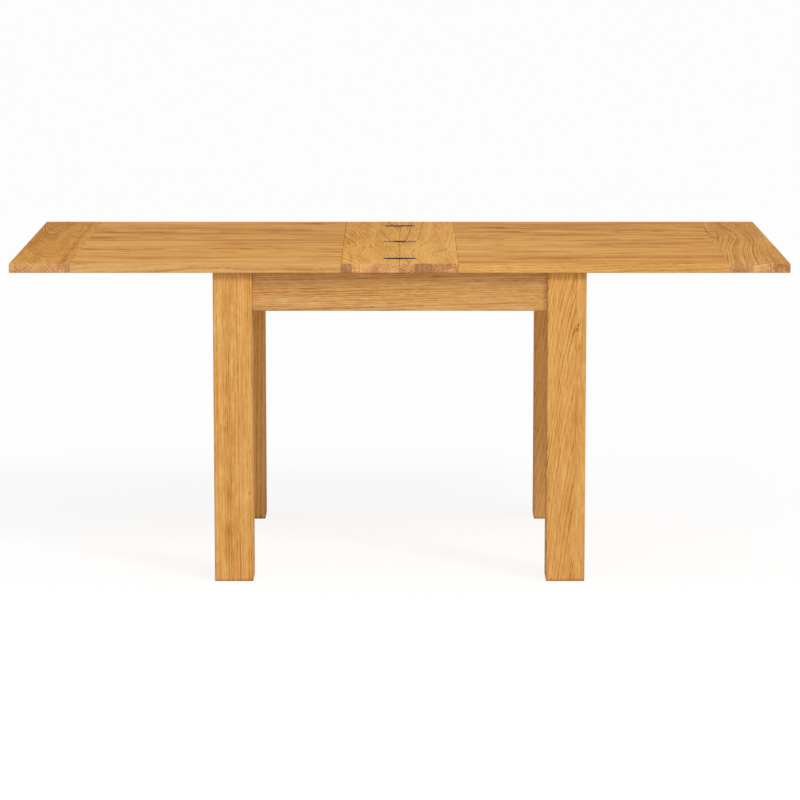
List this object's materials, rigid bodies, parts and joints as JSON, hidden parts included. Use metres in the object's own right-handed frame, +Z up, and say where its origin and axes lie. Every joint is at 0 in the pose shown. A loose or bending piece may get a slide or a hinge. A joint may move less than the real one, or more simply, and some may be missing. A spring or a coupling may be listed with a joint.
{
  "type": "extending dining table",
  "caption": "Flip-top extending dining table: hinged leaves of solid oak on a square legged frame, folding over and sliding in rails to close.",
  "frame": {"origin": "on the floor under the centre of the frame and of the open top", "axes": "+X along the open top from the fixed leaf to the flap, +Y from the front edge to the rear, +Z up"},
  "size_m": [1.8, 0.9, 0.75],
  "materials": {
    "oak": "satin lacquered golden oak",
    "rail_hardwood": "planed and sanded hardwood",
    "zinc_steel": "bright zinc plated",
    "hinge_steel": "dark steel, satin",
    "screw_steel": "nickel plated",
    "felt": "brown felt"
  },
  "bodies": {
    "frame": {"apron_front": "oak", "apron_left": "oak", "apron_rear": "oak", "apron_right": "oak", "corner_block_front_left": "rail_hardwood", "corner_block_front_right": "rail_hardwood", "corner_block_rear_left": "rail_hardwood", "corner_block_rear_right": "rail_hardwood", "corner_block_screws": "zinc_steel", "glide_strip_front": "felt", "glide_strip_left": "felt", "glide_strip_rear": "felt", "glide_strip_right": "felt", "guide_rail_front": "rail_hardwood", "guide_rail_rear": "rail_hardwood", "hanger_bolts": "zinc_steel", "hanger_nuts": "zinc_steel", "hanger_washers": "zinc_steel", "leg_front_left": "oak", "leg_front_right": "oak", "leg_rear_left": "oak", "leg_rear_right": "oak"},
    "fixed_leaf": {"fixed_leaf_inner_crossband": "oak", "fixed_leaf_outer_crossband": "oak", "fixed_leaf_panel": "oak", "hinge_centre_fixed_plate": "hinge_steel", "hinge_front_fixed_plate": "hinge_steel", "hinge_pins_fixed": "hinge_steel", "hinge_rear_fixed_plate": "hinge_steel", "hinge_screws_fixed": "screw_steel", "slide_runner_front": "rail_hardwood", "slide_runner_rear": "rail_hardwood", "slide_runner_screws": "zinc_steel"},
    "hinge_links": {"hinge_front_links": "hinge_steel", "hinge_centre_links": "hinge_steel", "hinge_rear_links": "hinge_steel"},
    "flap": {"flap_inner_crossband": "oak", "flap_outer_crossband": "oak", "flap_panel": "oak", "hinge_centre_flap_plate": "hinge_steel", "hinge_front_flap_plate": "hinge_steel", "hinge_pins_flap": "hinge_steel", "hinge_rear_flap_plate": "hinge_steel", "hinge_screws_flap": "screw_steel"}
  },
  "joints": [
    {"name": "top_slide", "type": "slide", "parent": "frame", "child": "fixed_leaf", "axis": [1, 0, 0], "range_m": [0, 0.4501]},
    {"name": "link_turn", "type": "hinge", "parent": "fixed_leaf", "child": "hinge_links", "pos_m": [-0.005, 0, 0.747], "axis": [0, -1, 0], "range_deg": [0, 90]},
    {"name": "flap_fold", "type": "hinge", "parent": "hinge_links", "child": "flap", "pos_m": [0.005, 0, 0.747], "axis": [0, -1, 0], "range_deg": [0, 90]}
  ]
}
